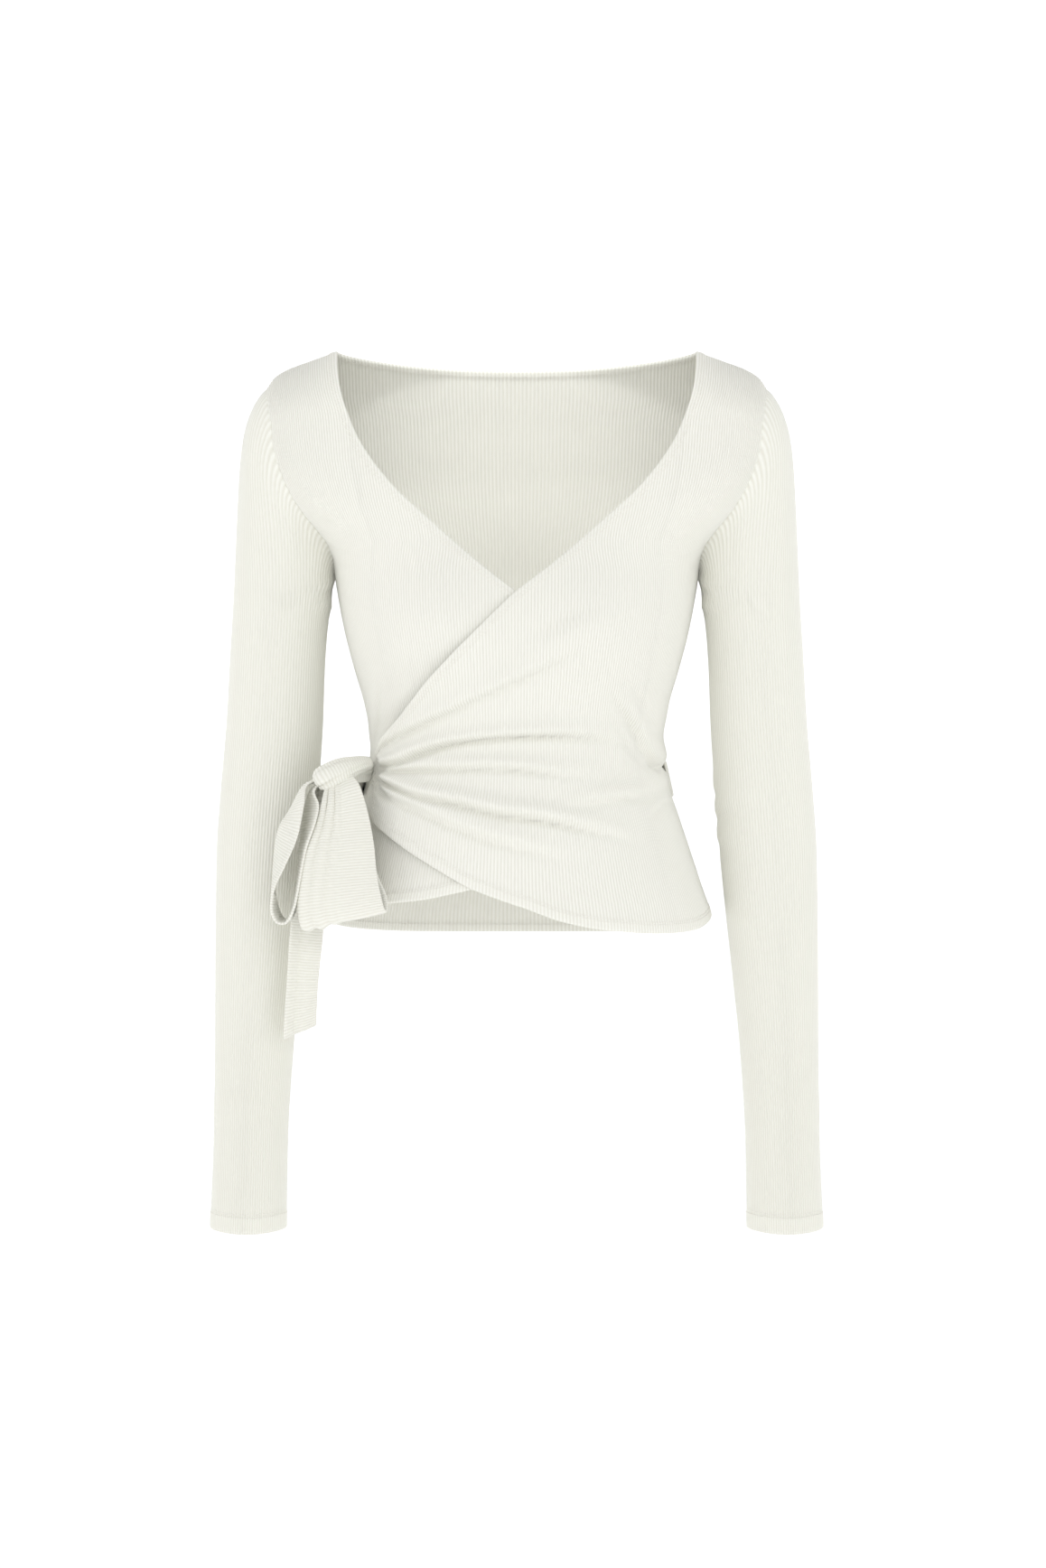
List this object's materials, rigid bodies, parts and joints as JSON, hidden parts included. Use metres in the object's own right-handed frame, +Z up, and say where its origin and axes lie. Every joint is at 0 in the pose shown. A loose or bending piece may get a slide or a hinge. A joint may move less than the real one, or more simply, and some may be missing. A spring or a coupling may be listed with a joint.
{
  "type": "wrap top",
  "caption": "Cropped wrap top in cream rib knit with crossed fronts, fitted long sleeves, a gathered waist and a bow at the side, in its hollow worn form.",
  "frame": {"origin": "midway between the two neck points, where the neck edge meets the shoulder seams, at the height where the shoulders carry the garment", "axes": "+X to the wearer's left, -Y to the front, +Z up"},
  "size_m": [0.4464, 0.1937, 0.6416],
  "materials": {
    "rib_knit": "matte, cream fine rib knit, ribs lengthwise",
    "rib_knit_sleeve": "matte, cream fine rib knit, ribs along the arm",
    "rib_knit_tie": "matte, cream fine rib knit, ribs across the strip"
  },
  "bodies": {
    "root": {"back": "rib_knit", "front_under": "rib_knit", "front_over": "rib_knit", "sleeve_right": "rib_knit_sleeve", "sleeve_left": "rib_knit_sleeve", "tie_under": "rib_knit_tie", "tie_over": "rib_knit_tie", "knot": "rib_knit_tie", "loop_left": "rib_knit_tie", "loop_right": "rib_knit_tie", "tail_front": "rib_knit_tie", "tail_back": "rib_knit_tie"}
  },
  "joints": []
}
